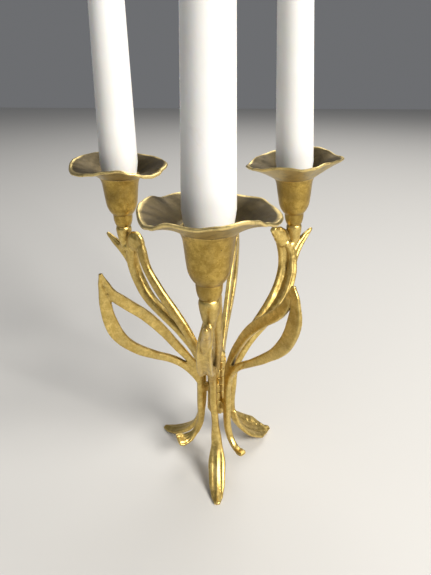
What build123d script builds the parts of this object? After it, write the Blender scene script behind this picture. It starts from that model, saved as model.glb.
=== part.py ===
from build123d import *
import os
from math import cos, radians, sin, sqrt

# Tabletop candelabra in cast brass: three arms and three leaf hoops turn on one upright rod.
# Millimetres, +Z up. The origin is on the rod's axis, on the table.
# Each casting is drawn in an upright plane through the rod's axis: X runs outwards, Y runs up.

# Rod, cap, washer, nut and the knuckles of the castings
rod_diameter = 7.0
running_clearance = 0.05  # radial, rod in the knuckles
stack_bottom = 46.0  # lower face of the lowest knuckle
knuckle_height = 6.1
knuckle_gap = 0.2
knuckle_diameter = 12.4
washer_diameter = 12.0
washer_thickness = 1.0
nut_across_flats = 11.0
nut_height = 4.5
thread_clearance = 0.03  # radial, threads and press seats within one body
rod_tail = 2.5  # rod showing below its nut
rod_chamfer = 0.6
cap_diameter = 11.4
cap_height = 4.6
cap_roof = 2.0  # solid brass above the rod's end
cap_dome_radius = 12.0

# Stems of the castings, which stand round the rod
stem_inner_radius = 9.0
stem_depth = 5.0
stem_bottom = 33.0
stem_headroom = 4.0  # the stems end this far below the top of the stack
arm_thickness = 6.0
hoop_stem_thickness = 4.4
hoop_thickness = 3.0

# Arms: two strands rise from the stem to a fork, which holds the bud under the cup
strand_width = 6.2
pattern_reach = 65.5  # the strands' points are drawn for a socket at this radius
head_radius = 6.2

# Feet of the arms, and the curled ends of the hoops
foot_reach = 46.5
foot_width = 11.0
foot_neck_width = 5.8
foot_thickness = 4.4
pad_start_radius = 38.0  # the foot's flat rests on the table outside this radius
foot_toe_height = 1.4

# Candle sockets, measured up each socket's own axis from the base of its bud
bud_base_height = 153.4
bud_root_depth = 4.0
bud_root_radius = 2.8
bud_radius = 4.85
bud_top_radius = 4.5
bud_height = 10.1
neck_height = 7.7
neck_radius = 6.0
bell_height = 23.5  # neck top to the shoulder under the pan
bell_waist_radius = 9.6
bell_waist_height = 5.8
bell_rim_radius = 12.6
cup_wall = 1.1
cup_floor = 2.4
spigot_height = 1.6
pan_hole_radius = 11.6
pan_radius = 28.6
pan_rise = 7.4
pan_thickness = 1.3
pan_flat_radius = 13.5
screw_diameter = 4.0
screw_head_diameter = 7.0
screw_head_height = 1.8
screw_tip_height = 2.5
screw_end_gap = 1.0  # tapped depth left below the screw's tip
bore_clearance = 0.2  # radial, screw in the cup's neck

# Candles and wicks
candle_length = 250.0
candle_radius = 11.2
candle_tip_radius = 5.9
candle_clearance = 0.3  # radial, wax in the cup
candle_swell_height = 7.0  # from the cup's rim up to the full radius
candle_tip_round = 2.5
wick_diameter = 1.6
wick_showing = 8.0
wick_clearance = 0.02

# Each arm: azimuth of its stem, level in the stack, radius of its socket, inward lean of its candle,
# and how far its socket swings and its foot turns from the stem's azimuth
arms = {
    "front": {"azimuth": 270.0, "level": 3, "reach": 65.8, "lean": 1.3, "swing": 0.0, "foot_turn": 3.5},
    "right": {"azimuth": 31.0, "level": 1, "reach": 62.4, "lean": 6.0, "swing": 7.5, "foot_turn": -0.5},
    "left": {"azimuth": 154.5, "level": 4, "reach": 68.0, "lean": 1.6, "swing": 0.0, "foot_turn": 0.0},
}
# Each hoop: azimuth, level in the stack, and which of the two leaf outlines it has
hoops = {
    "left": {"azimuth": 204.0, "level": 2, "leaf": "open"},
    "right": {"azimuth": 311.0, "level": 0, "leaf": "closed"},
    "back": {"azimuth": 80.0, "level": 5, "leaf": "open"},
}
# Leaf outlines: lower edge from the stem out to the tip, upper edge back to the stem, and the opening
leaves = {
    "open": {
        "lower": [(22, 81.5), (40.4, 94), (57, 105.5), (66, 122), (68.8, 146), (66.9, 156.5)],
        "upper": [(66.9, 156.5), (56.9, 141.9), (41.5, 127.7), (28.6, 108.5), (15, 86)],
        "opening_upper": [(62.1, 138.5), (48, 124.8), (34.4, 107.6), (25, 91.5)],
        "opening_lower": [(25, 91.5), (41.2, 104.1), (54.8, 117.9), (62.1, 138.5)],
    },
    "closed": {
        "lower": [(19, 84), (36.5, 101), (51.5, 114), (62.5, 129), (66.5, 144), (59.6, 160.8)],
        "upper": [(59.6, 160.8), (51, 145.5), (37.6, 131.8), (25.7, 118.5), (14, 98)],
        "opening_upper": [(58, 139.5), (41.5, 126.5), (29, 112), (18.5, 91)],
        "opening_lower": [(18.5, 91), (32.5, 102.5), (48, 117.5), (58, 139.5)],
    },
}

# Values that follow from the sizes above
rod_radius = rod_diameter / 2
knuckle_pitch = knuckle_height + knuckle_gap
stack_top = stack_bottom + (len(arms) + len(hoops)) * knuckle_pitch
stem_outer_radius = stem_inner_radius + stem_depth
stem_middle_radius = stem_inner_radius + stem_depth / 2
stem_top = stack_top - stem_headroom
washer_bottom = stack_bottom - knuckle_gap - washer_thickness
nut_bottom = washer_bottom - nut_height
rod_bottom = nut_bottom - rod_tail
cap_top = stack_top + cap_height
rod_top = cap_top - cap_roof
dome_drop = cap_dome_radius - sqrt(cap_dome_radius**2 - (cap_diameter / 2) ** 2)
neck_top = bud_height + neck_height
shoulder = neck_top + bell_height
cup_floor_top = neck_top + cup_floor
cup_rim = shoulder + spigot_height
spigot_radius = pan_hole_radius - running_clearance
cup_mouth_radius = spigot_radius - cup_wall
pan_edge = shoulder + pan_rise
candle_base = cup_floor_top + screw_head_height
candle_top = candle_base + candle_length

os.makedirs("parts", exist_ok=True)


def save(piece, name):
    """Name one finished piece and write it to its own file."""
    piece.label = name
    export_step(piece, f"parts/{name}.step")


def level_plane(azimuth, height):
    """Level plane round the rod's axis, with X along the azimuth."""
    turn = radians(azimuth)
    return Plane(origin=(0, 0, height), x_dir=(cos(turn), sin(turn), 0), z_dir=(0, 0, 1))


def casting_plane(azimuth):
    """Upright plane through the rod's axis: X outwards, Y up."""
    turn = radians(azimuth)
    return Plane(origin=(0, 0, 0), x_dir=(cos(turn), sin(turn), 0), z_dir=(sin(turn), -cos(turn), 0))


def socket_plane(arm):
    """Upright plane of one arm's socket: origin at the base of its bud, Y up the candle."""
    turn = radians(arm["azimuth"] + arm["swing"])
    tilt = radians(arm["lean"])
    base = (arm["reach"] * cos(turn), arm["reach"] * sin(turn), bud_base_height)
    outwards = (cos(turn) * cos(tilt), sin(turn) * cos(tilt), sin(tilt))
    return Plane(origin=base, x_dir=outwards, z_dir=(sin(turn), -cos(turn), 0))


def socket_axis(arm):
    """The axis up the middle of one arm's socket and its candle."""
    plane = socket_plane(arm)
    return Axis(plane.origin, plane.y_dir)


def reach_out(points, reach):
    """Stretch a strand's points outwards from the stem to suit the arm's socket radius."""
    stretch = (reach - stem_middle_radius) / (pattern_reach - stem_middle_radius)
    return [(stem_middle_radius + (x - stem_middle_radius) * stretch, y) for x, y in points]


def add_knuckle(azimuth, level, web_thickness):
    """Join a knuckle and its web to the casting that is being made."""
    plane = level_plane(azimuth, stack_bottom + level * knuckle_pitch)
    with BuildSketch(plane) as ring_and_web:
        Circle(knuckle_diameter / 2)
        Rectangle(stem_middle_radius, web_thickness, align=(Align.MIN, Align.CENTER))
    extrude(ring_and_web.sketch, amount=knuckle_height)
    with BuildSketch(plane) as rod_hole:
        Circle(rod_radius + running_clearance)
    extrude(rod_hole.sketch, amount=knuckle_height, mode=Mode.SUBTRACT)


def add_stem(azimuth, thickness):
    """Join the straight stem that stands beside the rod."""
    with BuildSketch(casting_plane(azimuth)) as stem:
        with BuildLine():
            Polyline(
                (stem_inner_radius, stem_bottom),
                (stem_outer_radius, stem_bottom),
                (stem_outer_radius, stem_top - stem_depth),
                (stem_inner_radius, stem_top),
                close=True,
            )
        make_face()
    extrude(stem.sketch, amount=thickness / 2, both=True)


def add_long_foot(azimuth):
    """Make an arm's foot: it sweeps out from the stem to a flat that rests on the table."""
    ankle = stem_bottom + 2
    with BuildSketch(casting_plane(azimuth)) as side:
        with BuildLine():
            Spline((stem_inner_radius, ankle), (13, 21), (22, 10.5), (pad_start_radius, 0))
            Polyline((pad_start_radius, 0), (foot_reach, 0), (foot_reach, foot_toe_height))
            Spline(
                (foot_reach, foot_toe_height),
                (40, foot_thickness + 1.6),
                (26, 14.5),
                (18, 24),
                (stem_outer_radius, ankle),
            )
            Line((stem_outer_radius, ankle), (stem_inner_radius, ankle))
        make_face()
    extrude(side.sketch, amount=foot_width / 2, both=True)
    neck = foot_neck_width / 2
    with BuildSketch(level_plane(azimuth, 0)) as plan:
        with BuildLine():
            Polyline((16, neck), (0, neck), (0, -neck), (16, -neck))
            Spline(
                (16, -neck),
                (29, -foot_width / 2),
                (40, -foot_width * 0.4),
                (foot_reach, 0),
                (40, foot_width * 0.4),
                (29, foot_width / 2),
                (16, neck),
            )
        make_face()
    extrude(plan.sketch, amount=ankle + 1, mode=Mode.INTERSECT)


def add_strands(azimuth, reach):
    """Join the two strands, the rounded head between them and the fork's outer tip."""
    outer_strand = [(12, 71), (17.5, 82), (25.5, 92.5), (38, 102.5), (49.5, 112.5), (59, 125.5), (64, 139)]
    fork_tip = [(64, 139), (68.5, 148), (78, 157.5)]
    hub_strand = [(12, 78), (17.5, 91), (27, 101), (38.5, 114), (48.3, 127), (53.5, 140), (55, 150), (55, 156)]
    head = [(53, 157), (57, 154.5), (67.5, 149)]
    head_middle = (57, 154)
    with BuildSketch(casting_plane(azimuth)) as strands:
        for points in (outer_strand, hub_strand):
            with BuildLine():
                Spline(*reach_out(points, reach))
            trace(line_width=strand_width)
        for points, width in ((fork_tip, strand_width * 0.6), (head, strand_width)):
            with BuildLine():
                Spline(*reach_out(points, reach))
            trace(line_width=width)
        with Locations(reach_out([head_middle], reach)[0]):
            Circle(head_radius)
    extrude(strands.sketch, amount=arm_thickness / 2, both=True)


def add_bud(arm):
    """Join the bud over the fork, with the tapped hole for its cup's screw."""
    plane = socket_plane(arm)
    with BuildSketch(plane) as bud:
        with BuildLine():
            Line((0, -bud_root_depth), (bud_root_radius, -bud_root_depth))
            Spline(
                (bud_root_radius, -bud_root_depth),
                (bud_radius, bud_height * 0.65),
                (bud_top_radius, bud_height),
            )
            Polyline((bud_top_radius, bud_height), (0, bud_height), (0, -bud_root_depth))
        make_face()
    revolve(bud.sketch, axis=socket_axis(arm))
    hole_depth = bud_height - screw_tip_height + screw_end_gap
    bud_top = Plane(origin=plane.from_local_coords((0, bud_height, 0)), z_dir=plane.y_dir)
    with BuildSketch(bud_top) as screw_hole:
        Circle(screw_diameter / 2 + thread_clearance)
    extrude(screw_hole.sketch, amount=-hole_depth, mode=Mode.SUBTRACT)


def make_arm(name, arm):
    """Cast one arm in a single piece, from its foot to the bud under its candle cup."""
    with BuildPart() as casting:
        add_long_foot(arm["azimuth"] + arm["foot_turn"])
        add_stem(arm["azimuth"], arm_thickness)
        add_strands(arm["azimuth"] + arm["swing"] / 2, arm["reach"])
        add_bud(arm)
        add_knuckle(arm["azimuth"], arm["level"], arm_thickness)
    save(casting.part, f"arm_{name}")


def add_leaf(azimuth, outline):
    """Join the open leaf to the top of its stem."""
    root = stem_top - stem_depth
    with BuildSketch(casting_plane(azimuth)) as leaf:
        with BuildLine():
            Spline((stem_outer_radius, root), *outline["lower"])
            Spline(*outline["upper"], (stem_inner_radius, root))
            Line((stem_inner_radius, root), (stem_outer_radius, root))
        make_face()
        with BuildLine():
            Spline(*outline["opening_upper"])
            Spline(*outline["opening_lower"])
        make_face(mode=Mode.SUBTRACT)
    extrude(leaf.sketch, amount=hoop_thickness / 2, both=True)


def add_curled_end(azimuth):
    """Join the short curled end that hangs over the table."""
    ankle = stem_bottom + 2
    with BuildSketch(casting_plane(azimuth)) as curl:
        with BuildLine():
            Spline((stem_inner_radius, ankle), (12, 24), (20, 17.5), (29, 22))
            Line((29, 22), (27.5, 24.5))
            Spline((27.5, 24.5), (21.5, 21.8), (16.5, 26), (stem_outer_radius, ankle))
            Line((stem_outer_radius, ankle), (stem_inner_radius, ankle))
        make_face()
    extrude(curl.sketch, amount=hoop_stem_thickness / 2, both=True)


def make_hoop(name, hoop):
    """Cast one leaf hoop in a single piece, from its curled end to the tip of its leaf."""
    with BuildPart() as casting:
        add_leaf(hoop["azimuth"], leaves[hoop["leaf"]])
        add_curled_end(hoop["azimuth"])
        add_stem(hoop["azimuth"], hoop_stem_thickness)
        add_knuckle(hoop["azimuth"], hoop["level"], hoop_stem_thickness)
    save(casting.part, f"leaf_{name}")


def make_cup(name, arm):
    """Turn one bell-shaped candle cup, with the spigot that its drip pan sits on."""
    bore_radius = screw_diameter / 2 + bore_clearance
    floor_radius = screw_head_diameter / 2 + 0.8
    with BuildPart() as cup:
        with BuildSketch(socket_plane(arm)):
            with BuildLine():
                Line((bore_radius, bud_height), (bud_top_radius, bud_height))
                Spline(
                    (bud_top_radius, bud_height),
                    (neck_radius - 0.2, bud_height + neck_height * 0.6),
                    (neck_radius, neck_top),
                )
                Spline(
                    (neck_radius, neck_top),
                    (bell_waist_radius - 0.9, neck_top + bell_waist_height * 0.5),
                    (bell_waist_radius, neck_top + bell_waist_height),
                    (bell_waist_radius + 0.9, neck_top + bell_height / 2),
                    (bell_rim_radius - 1.5, shoulder - 3.2),
                    (bell_rim_radius, shoulder),
                )
                Polyline(
                    (bell_rim_radius, shoulder),
                    (spigot_radius, shoulder),
                    (spigot_radius, cup_rim),
                    (cup_mouth_radius, cup_rim),
                    (cup_mouth_radius, shoulder - 1),
                )
                Spline(
                    (cup_mouth_radius, shoulder - 1),
                    (bell_waist_radius + 0.9 - cup_wall, neck_top + bell_height / 2 + 1),
                    (bell_waist_radius - cup_wall, neck_top + bell_waist_height + 1),
                    (floor_radius + 2, cup_floor_top + 1),
                    (floor_radius, cup_floor_top),
                )
                Polyline(
                    (floor_radius, cup_floor_top),
                    (bore_radius, cup_floor_top),
                    (bore_radius, bud_height),
                )
            make_face()
        revolve(axis=socket_axis(arm))
    save(cup.part, f"cup_{name}")


def make_drip_pan(name, arm):
    """Spin one shallow drip pan, whose flat rests on the cup's shoulder."""
    with BuildPart() as pan:
        with BuildSketch(socket_plane(arm)):
            with BuildLine():
                Line((pan_hole_radius, shoulder), (pan_flat_radius, shoulder))
                Spline(
                    (pan_flat_radius, shoulder),
                    (pan_radius - 8, shoulder + pan_rise * 0.58),
                    (pan_radius, pan_edge - pan_thickness),
                )
                Line((pan_radius, pan_edge - pan_thickness), (pan_radius - pan_thickness / 2, pan_edge))
                Spline(
                    (pan_radius - pan_thickness / 2, pan_edge),
                    (pan_radius - 8.4, shoulder + pan_rise * 0.58 + pan_thickness),
                    (pan_flat_radius, shoulder + pan_thickness),
                )
                Polyline(
                    (pan_flat_radius, shoulder + pan_thickness),
                    (pan_hole_radius, shoulder + pan_thickness),
                    (pan_hole_radius, shoulder),
                )
            make_face()
        revolve(axis=socket_axis(arm))
    save(pan.part, f"drip_pan_{name}")


def make_cup_screw(name, arm):
    """Turn the screw that holds one cup down on its bud."""
    with BuildPart() as screw:
        with BuildSketch(socket_plane(arm)):
            with BuildLine():
                Polyline(
                    (0, screw_tip_height),
                    (screw_diameter / 2, screw_tip_height),
                    (screw_diameter / 2, cup_floor_top),
                    (screw_head_diameter / 2, cup_floor_top),
                    (screw_head_diameter / 2, candle_base),
                    (0, candle_base),
                    close=True,
                )
            make_face()
        revolve(axis=socket_axis(arm))
    save(screw.part, f"cup_screw_{name}")


def make_candle(name, arm):
    """Mould one taper candle, with its foot shaved to fit the cup."""
    wick_hole = wick_diameter / 2 + wick_clearance
    with BuildPart() as candle:
        with BuildSketch(socket_plane(arm)):
            with BuildLine():
                Polyline(
                    (wick_hole, candle_base),
                    (screw_head_diameter / 2 + candle_clearance, candle_base),
                    (bell_waist_radius - cup_wall - 1.6, neck_top + bell_waist_height + 1.5),
                    (cup_mouth_radius - 3 * candle_clearance, shoulder - 3),
                    (cup_mouth_radius - candle_clearance, cup_rim),
                    (candle_radius, cup_rim + candle_swell_height),
                    (candle_tip_radius, candle_top - candle_tip_round),
                )
                Spline(
                    (candle_tip_radius, candle_top - candle_tip_round),
                    (candle_tip_radius * 0.8, candle_top - candle_tip_round * 0.3),
                    (wick_hole, candle_top),
                )
                Line((wick_hole, candle_top), (wick_hole, candle_base))
            make_face()
        revolve(axis=socket_axis(arm))
    save(candle.part, f"candle_{name}")


def make_wick(name, arm):
    """Run one cotton wick up the middle of its candle."""
    with BuildPart() as wick:
        with BuildSketch(socket_plane(arm)):
            with BuildLine():
                Polyline(
                    (0, candle_base),
                    (wick_diameter / 2, candle_base),
                    (wick_diameter / 2, candle_top + wick_showing),
                    (0, candle_top + wick_showing),
                    close=True,
                )
            make_face()
        revolve(axis=socket_axis(arm))
    save(wick.part, f"wick_{name}")


for arm_name, arm_sizes in arms.items():
    make_arm(arm_name, arm_sizes)
    make_cup(arm_name, arm_sizes)
    make_drip_pan(arm_name, arm_sizes)
    make_cup_screw(arm_name, arm_sizes)
    make_candle(arm_name, arm_sizes)
    make_wick(arm_name, arm_sizes)

for hoop_name, hoop_sizes in hoops.items():
    make_hoop(hoop_name, hoop_sizes)

# Centre rod: it holds the castings together between its cap and its nut
with BuildPart() as center_rod:
    with BuildSketch(Plane.XY.offset(rod_bottom)):
        Circle(rod_radius)
    extrude(amount=rod_top - rod_bottom)
    chamfer(center_rod.edges().group_by(Axis.Z)[0], length=rod_chamfer)
save(center_rod.part, "center_rod")

with BuildPart() as rod_cap:
    with BuildSketch(Plane.XZ):
        with BuildLine():
            Line((0, stack_top), (cap_diameter / 2, stack_top))
            Line((cap_diameter / 2, stack_top), (cap_diameter / 2, cap_top - dome_drop))
            RadiusArc((cap_diameter / 2, cap_top - dome_drop), (0, cap_top), -cap_dome_radius)
            Line((0, cap_top), (0, stack_top))
        make_face()
    revolve(axis=Axis.Z)
    with BuildSketch(Plane.XY.offset(stack_top)):
        Circle(rod_radius + thread_clearance)
    extrude(amount=rod_top - stack_top, mode=Mode.SUBTRACT)
save(rod_cap.part, "rod_cap")

with BuildPart() as rod_washer:
    with BuildSketch(Plane.XY.offset(washer_bottom)):
        Circle(washer_diameter / 2)
        Circle(rod_radius + running_clearance, mode=Mode.SUBTRACT)
    extrude(amount=washer_thickness)
save(rod_washer.part, "rod_washer")

with BuildPart() as rod_nut:
    with BuildSketch(Plane.XY.offset(nut_bottom)):
        RegularPolygon(nut_across_flats / 2, 6, major_radius=False)
        Circle(rod_radius + thread_clearance, mode=Mode.SUBTRACT)
    extrude(amount=nut_height)
save(rod_nut.part, "rod_nut")
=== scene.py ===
from math import atan2, cos, degrees, exp, pi, radians, sin, sqrt

import bpy
from mathutils import Matrix, Vector


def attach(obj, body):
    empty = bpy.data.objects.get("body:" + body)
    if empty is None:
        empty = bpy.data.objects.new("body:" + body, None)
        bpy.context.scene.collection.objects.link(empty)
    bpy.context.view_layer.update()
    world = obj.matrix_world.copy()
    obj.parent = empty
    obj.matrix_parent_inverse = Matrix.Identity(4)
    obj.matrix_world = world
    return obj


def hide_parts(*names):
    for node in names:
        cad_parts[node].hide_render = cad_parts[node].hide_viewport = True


bl_info = {
    "name": "Cast brass candelabra",
    "version": (1, 0, 0),
    "blender": (4, 5, 0),
    "location": "View3D > Sidebar > Candelabra",
    "description": "Models and finishes a tabletop candelabra around its fixed frame",
    "category": "Object",
}

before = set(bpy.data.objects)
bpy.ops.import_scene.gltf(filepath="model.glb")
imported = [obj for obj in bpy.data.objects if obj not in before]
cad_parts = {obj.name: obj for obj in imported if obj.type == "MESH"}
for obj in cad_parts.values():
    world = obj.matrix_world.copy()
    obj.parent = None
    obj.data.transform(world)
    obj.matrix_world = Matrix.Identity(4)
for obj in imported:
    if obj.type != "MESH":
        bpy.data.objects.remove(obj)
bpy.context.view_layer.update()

MM = 0.001

# Azimuth of the stem, socket radius, lean of the candle, turn of the foot and swing of the loop from the
# stem's azimuth, level in the stack, and which of the two strand patterns the loop has
ARMS = {
    "front": {"azimuth": 270.0, "reach": 65.8, "lean": 1.3, "foot_turn": 3.5, "level": 3, "swing": 0.0,
              "strands": "plain", "foot_wing": 0.0},
    "right": {"azimuth": 31.0, "reach": 62.4, "lean": 6.0, "foot_turn": -0.5, "level": 1, "swing": 7.5,
              "strands": "bowed", "foot_wing": 6.0},
    "left": {"azimuth": 154.5, "reach": 68.0, "lean": 1.6, "foot_turn": 0.0, "level": 4, "swing": 0.0,
             "strands": "plain", "foot_wing": 0.0},
}
LEAVES = {
    "left": {"azimuth": 204.0, "level": 2, "lines": "open", "fan": 5.8},
    "right": {"azimuth": 311.0, "level": 0, "lines": "closed", "fan": 2.8},
    "back": {"azimuth": 80.0, "level": 5, "lines": "open", "fan": 3.4},
}
STEM_RADIUS = 11.5
BUD_BASE = 153.4
STACK_BOTTOM = 46.0
KNUCKLE_PITCH = 6.3
KNUCKLE_HEIGHT = 6.1
# Doubles closer than this are merged, and castings are melted together on grids of these sizes, in mm
MERGE_DISTANCE = 0.002
ARM_VOXEL = 0.42
LEAF_VOXEL = 0.40
# Heights over which an arm's loop swings aside, and its foot turns, in mm
LOOP_SWING = (96, 150)
FOOT_TURN = (36, 20)
ROD_PARTS = (
    "center_rod", "rod_cap", "rod_washer", "rod_nut", "cup_screw_front", "cup_screw_left", "cup_screw_right",
)


# --- Working with operators ---------------------------------------------------------------------

def clear_selection():
    """Go to object mode with nothing selected, so that the next operator acts on its own piece."""
    if bpy.context.object and bpy.context.object.mode != "OBJECT":
        bpy.ops.object.mode_set(mode="OBJECT")
    bpy.ops.object.select_all(action="DESELECT")


def pick(*pieces):
    """Select these pieces and make the first one active."""
    clear_selection()
    for piece in pieces:
        piece.select_set(True)
    bpy.context.view_layer.objects.active = pieces[0]


def apply_modifiers(piece):
    """Apply every modifier of a piece, in order."""
    pick(piece)
    for modifier in list(piece.modifiers):
        bpy.ops.object.modifier_apply(modifier=modifier.name)


def settle(piece, matrix):
    """Put a piece in its place and write that place into its mesh."""
    pick(piece)
    piece.matrix_world = matrix @ piece.matrix_world
    bpy.ops.object.transform_apply(location=True, rotation=True, scale=True)


def tidy_shell(piece):
    """Merge doubles and turn the faces of a closed shell outwards."""
    pick(piece)
    bpy.ops.object.mode_set(mode="EDIT")
    bpy.ops.mesh.select_all(action="SELECT")
    bpy.ops.mesh.remove_doubles(threshold=MERGE_DISTANCE * MM)
    bpy.ops.mesh.normals_make_consistent(inside=False)
    bpy.ops.object.mode_set(mode="OBJECT")


def join(name, pieces):
    """Join several pieces into one."""
    pick(*pieces)
    if len(pieces) > 1:
        bpy.ops.object.join()
    pieces[0].name = name
    pieces[0].data.name = name
    return pieces[0]


def duplicate(piece, name):
    """Copy a piece with its own mesh."""
    pick(piece)
    bpy.ops.object.duplicate(linked=False)
    copy = bpy.context.object
    copy.name = name
    copy.data.name = name
    return copy


def fuse(piece, voxel, smoothing):
    """Melt a piece's overlapping shells into one casting with soft inner corners."""
    remesh = piece.modifiers.new("casting", "REMESH")
    remesh.mode = "VOXEL"
    remesh.voxel_size = voxel * MM
    remesh.use_smooth_shade = True
    relax = piece.modifiers.new("relax", "SMOOTH")
    relax.factor = 0.5
    relax.iterations = smoothing
    apply_modifiers(piece)


def smooth(piece, angle=40.0):
    """Shade a piece smooth up to an angle."""
    pick(piece)
    bpy.ops.object.shade_smooth_by_angle(angle=radians(angle))


def stack_rings(start, rings):
    """Extrude the selected ring, which stands at start, through (radius, height) pairs in mm."""
    radius, height = start
    for next_radius, next_height in rings:
        bpy.ops.mesh.extrude_region_move(
            TRANSFORM_OT_translate={"value": (0, 0, (next_height - height) * MM)}
        )
        ratio = next_radius / radius
        bpy.ops.transform.resize(value=(ratio, ratio, 1), center_override=(0, 0, next_height * MM))
        radius, height = next_radius, next_height


def lathe(name, profile, segments=96):
    """Turn a closed shape about Z from (radius, height) pairs in mm that start and end on the axis."""
    clear_selection()
    radius, height = profile[1]
    bpy.ops.mesh.primitive_circle_add(
        vertices=segments, radius=radius * MM, fill_type="TRIFAN", location=(0, 0, height * MM)
    )
    piece = bpy.context.object
    piece.name = name
    bpy.ops.object.transform_apply(location=True, rotation=False, scale=False)
    for vertex in piece.data.vertices:
        if vertex.co.xy.length < radius * MM * 0.5:
            vertex.co.z = profile[0][1] * MM
    bpy.ops.object.mode_set(mode="EDIT")
    bpy.ops.mesh.select_all(action="DESELECT")
    bpy.ops.mesh.select_mode(type="EDGE")
    bpy.ops.mesh.select_non_manifold(
        extend=False, use_wire=False, use_boundary=True, use_multi_face=False, use_non_contiguous=False,
        use_verts=False,
    )
    stack_rings(profile[1], profile[2:-1])
    bpy.ops.mesh.extrude_region_move(
        TRANSFORM_OT_translate={"value": (0, 0, (profile[-1][1] - profile[-2][1]) * MM)}
    )
    bpy.ops.mesh.merge(type="CENTER")
    bpy.ops.object.mode_set(mode="OBJECT")
    tidy_shell(piece)
    return piece


def ring_lathe(name, profile, segments=128):
    """Turn a closed ring about Z from (radius, height) pairs in mm that go once round its section."""
    clear_selection()
    radius, height = profile[0]
    bpy.ops.mesh.primitive_circle_add(
        vertices=segments, radius=radius * MM, fill_type="NOTHING", location=(0, 0, height * MM)
    )
    piece = bpy.context.object
    piece.name = name
    bpy.ops.object.transform_apply(location=True, rotation=False, scale=False)
    bpy.ops.object.mode_set(mode="EDIT")
    bpy.ops.mesh.select_mode(type="EDGE")
    bpy.ops.mesh.select_all(action="SELECT")
    stack_rings(profile[0], profile[1:] + profile[:1])
    bpy.ops.object.mode_set(mode="OBJECT")
    tidy_shell(piece)
    return piece


def guide(points, twist="Z_UP", resolution=24):
    """A smooth guide curve through points (x, y, z) in mm, with auto handles."""
    clear_selection()
    bpy.ops.curve.primitive_bezier_curve_add(location=(0, 0, 0))
    curve = bpy.context.object
    spline = curve.data.splines[0]
    spline.bezier_points.add(len(points) - 2)
    curve.data.dimensions = "3D"
    curve.data.twist_mode = twist
    for point, place in zip(spline.bezier_points, points):
        point.co = Vector(place) * MM
        point.handle_left_type = "AUTO"
        point.handle_right_type = "AUTO"
    curve.data.resolution_u = resolution
    return curve


def smooth_step(value):
    """Ease from 0 to 1 as the value goes from 0 to 1."""
    value = min(max(value, 0.0), 1.0)
    return value * value * (3 - 2 * value)


def along(stops, fraction):
    """Read a value from (fraction, value) stops, eased between them."""
    for (start, low), (end, high) in zip(stops, stops[1:]):
        if fraction <= end:
            return low + (high - low) * smooth_step((fraction - start) / (end - start))
    return stops[-1][1]


def bar(
    name, points, widths, depths, rings=48, corner=0.72, valleys=(), channel=None, scallop=None, sides=32
):
    """Bend a bar along the points: X outwards, Y up, Z across the casting.

    widths are (fraction, half width in the plane), depths (fraction, half depth across it).
    valleys sink lines in the +Z face: (start, end, place across, spread, depth) in parts of the bar.
    channel hollows the outer edge: (start, end, depth in mm). scallop ribs the end: (start, count, depth).
    corner squares the section: 1 is an ellipse, and less is squarer.
    """
    valley_ease, channel_ease_in, channel_ease_out, scallop_ease = 0.05, 0.06, 0.08, 0.08
    channel_spread = 0.66
    clear_selection()
    bpy.ops.mesh.primitive_circle_add(vertices=sides, radius=1.0, fill_type="NGON", rotation=(0, pi / 2, 0))
    piece = bpy.context.object
    piece.name = name
    bpy.ops.object.transform_apply(location=False, rotation=True, scale=False)
    for vertex in piece.data.vertices:
        angle = atan2(vertex.co.z, vertex.co.y)
        across, up = cos(angle), sin(angle)
        across = (abs(across) ** corner) * (1 if across > 0 else -1)
        up = (abs(up) ** corner) * (1 if up > 0 else -1)
        vertex.co.y, vertex.co.z = across, up
    start_width, start_depth = along(widths, 0) * MM, along(depths, 0) * MM
    bpy.ops.object.mode_set(mode="EDIT")
    bpy.ops.mesh.select_mode(type="FACE")
    bpy.ops.mesh.select_all(action="SELECT")
    bpy.ops.transform.resize(value=(1, start_width, start_depth), center_override=(0, 0, 0))
    last_width, last_depth = start_width, start_depth
    for ring in range(1, rings + 1):
        fraction = ring / rings
        width, depth = along(widths, fraction) * MM, along(depths, fraction) * MM
        bpy.ops.mesh.extrude_region_move(TRANSFORM_OT_translate={"value": (1 / rings, 0, 0)})
        bpy.ops.transform.resize(
            value=(1, width / last_width, depth / last_depth), center_override=(fraction, 0, 0)
        )
        last_width, last_depth = width, depth
    bpy.ops.object.mode_set(mode="OBJECT")
    tidy_shell(piece)
    for vertex in piece.data.vertices:
        part = vertex.co.x
        width, depth = along(widths, part) * MM, along(depths, part) * MM
        across, up = vertex.co.y / width, vertex.co.z / depth
        for start, end, middle, spread, sink in valleys:
            window = smooth_step((part - start) / valley_ease) * smooth_step((end - part) / valley_ease)
            if up > 0.3:
                vertex.co.z -= sink * MM * window * exp(-(((across - middle) / spread) ** 2))
        if channel and across > 0.2:
            window = smooth_step((part - channel[0]) / channel_ease_in)
            window *= smooth_step((channel[1] - part) / channel_ease_out)
            vertex.co.y -= channel[2] * MM * window * exp(-((up / channel_spread) ** 4))
        if scallop and part > scallop[0]:
            window = smooth_step((part - scallop[0]) / scallop_ease)
            rib = 0.5 - 0.5 * cos(pi * scallop[1] * up)
            vertex.co.y -= scallop[2] * MM * window * rib * (1 if across > 0 else -0.3)
    curve = guide(points)
    bend = piece.modifiers.new("bend", "CURVE")
    bend.object = curve
    bend.deform_axis = "POS_X"
    curve.data.use_stretch = True
    curve.data.use_deform_bounds = True
    apply_modifiers(piece)
    pick(curve)
    bpy.ops.object.delete()
    return piece


# --- Places --------------------------------------------------------------------------------------

def casting_matrix(azimuth):
    """Stands a casting up: its X points outwards, its Y up and its Z against the azimuth."""
    outwards = Vector((cos(radians(azimuth)), sin(radians(azimuth)), 0))
    up = Vector((0, 0, 1))
    return Matrix((outwards, up, outwards.cross(up))).transposed().to_4x4()


def socket_azimuth(arm):
    """Direction of an arm's socket: the loop may swing aside from its stem."""
    return arm["azimuth"] + arm["swing"]


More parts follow.
